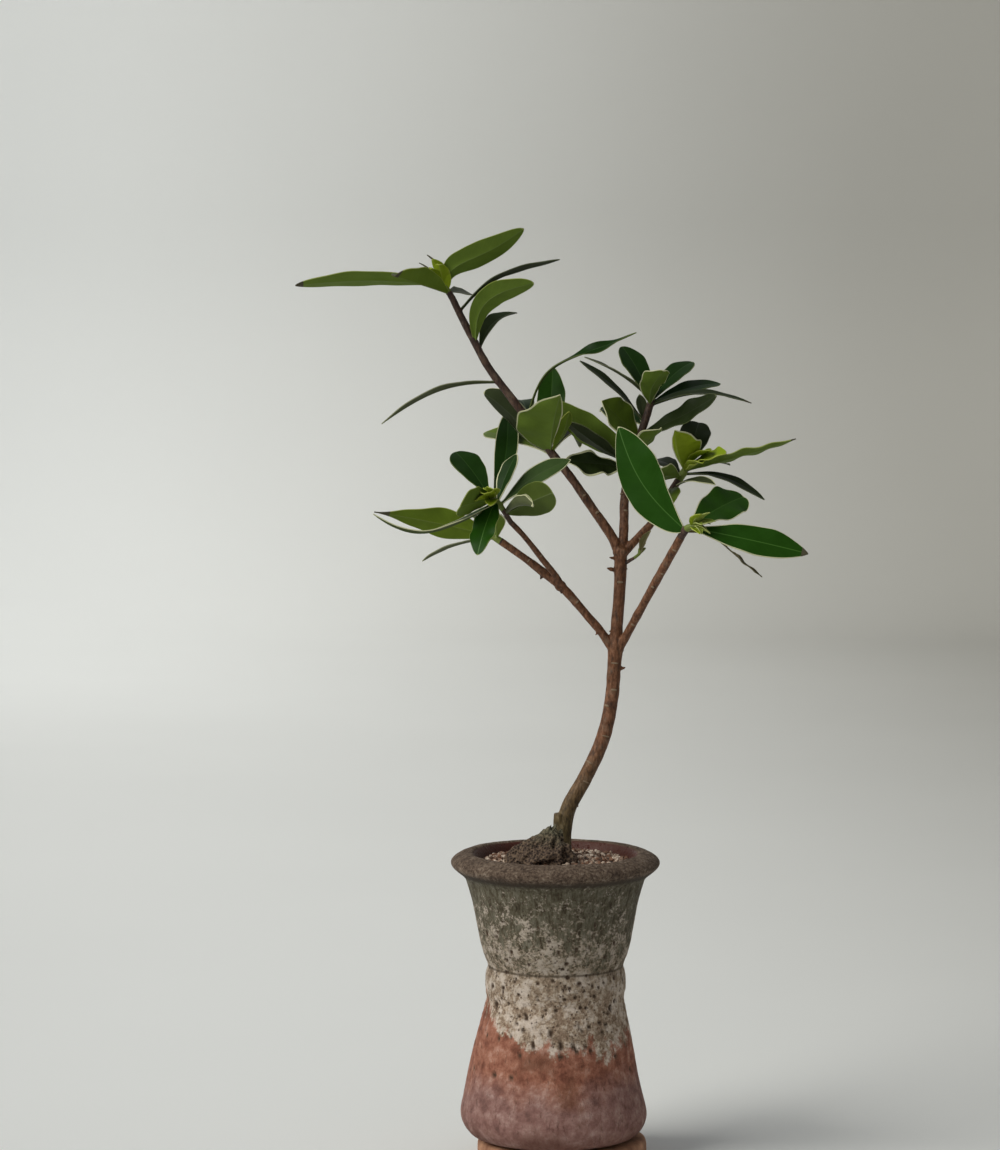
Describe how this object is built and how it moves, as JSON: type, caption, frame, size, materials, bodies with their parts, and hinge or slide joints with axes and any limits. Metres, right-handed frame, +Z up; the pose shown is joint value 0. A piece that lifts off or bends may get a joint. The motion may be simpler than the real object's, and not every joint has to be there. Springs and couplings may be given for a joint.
{
  "type": "potted daphne shrub",
  "caption": "Small daphne shrub: a leaning trunk that forks into bare boughs with whorls of long, pale-edged leaves, planted in a waisted clay pot topped with grit and a lava stone.",
  "frame": {"origin": "centre of the pot's axis at the flat underside of its foot", "axes": "+Z up, -Y towards the viewer, +X to the viewer's right"},
  "size_m": [0.2628, 0.1195, 0.4916],
  "materials": {
    "fired_clay": "rough, pitted wood-fired clay: grey-green above, chalky at the waist, rust below",
    "foot_clay": "matt fired clay",
    "grit": "loose pale grit",
    "lava": "rough porous lava",
    "bark": "smooth brown bark with pale leaf scars",
    "foliage": "glossy leaf with a pale margin"
  },
  "bodies": {
    "root": {"pot": "fired_clay", "pot_foot": "foot_clay", "grit": "grit", "lava_stone": "lava", "trunk": "bark", "low_left_bough": "bark", "low_left_side_bough": "bark", "low_right_bough": "bark", "centre_bough": "bark", "upper_left_bough": "bark", "upper_right_bough": "bark", "top_left_bough": "bark", "side_sprig": "foliage", "low_right_spray": "foliage", "low_left_rear_spray": "foliage", "low_left_front_spray": "foliage", "middle_spray": "foliage", "right_spray": "foliage", "top_right_spray": "foliage", "top_left_spray": "foliage"}
  },
  "joints": []
}
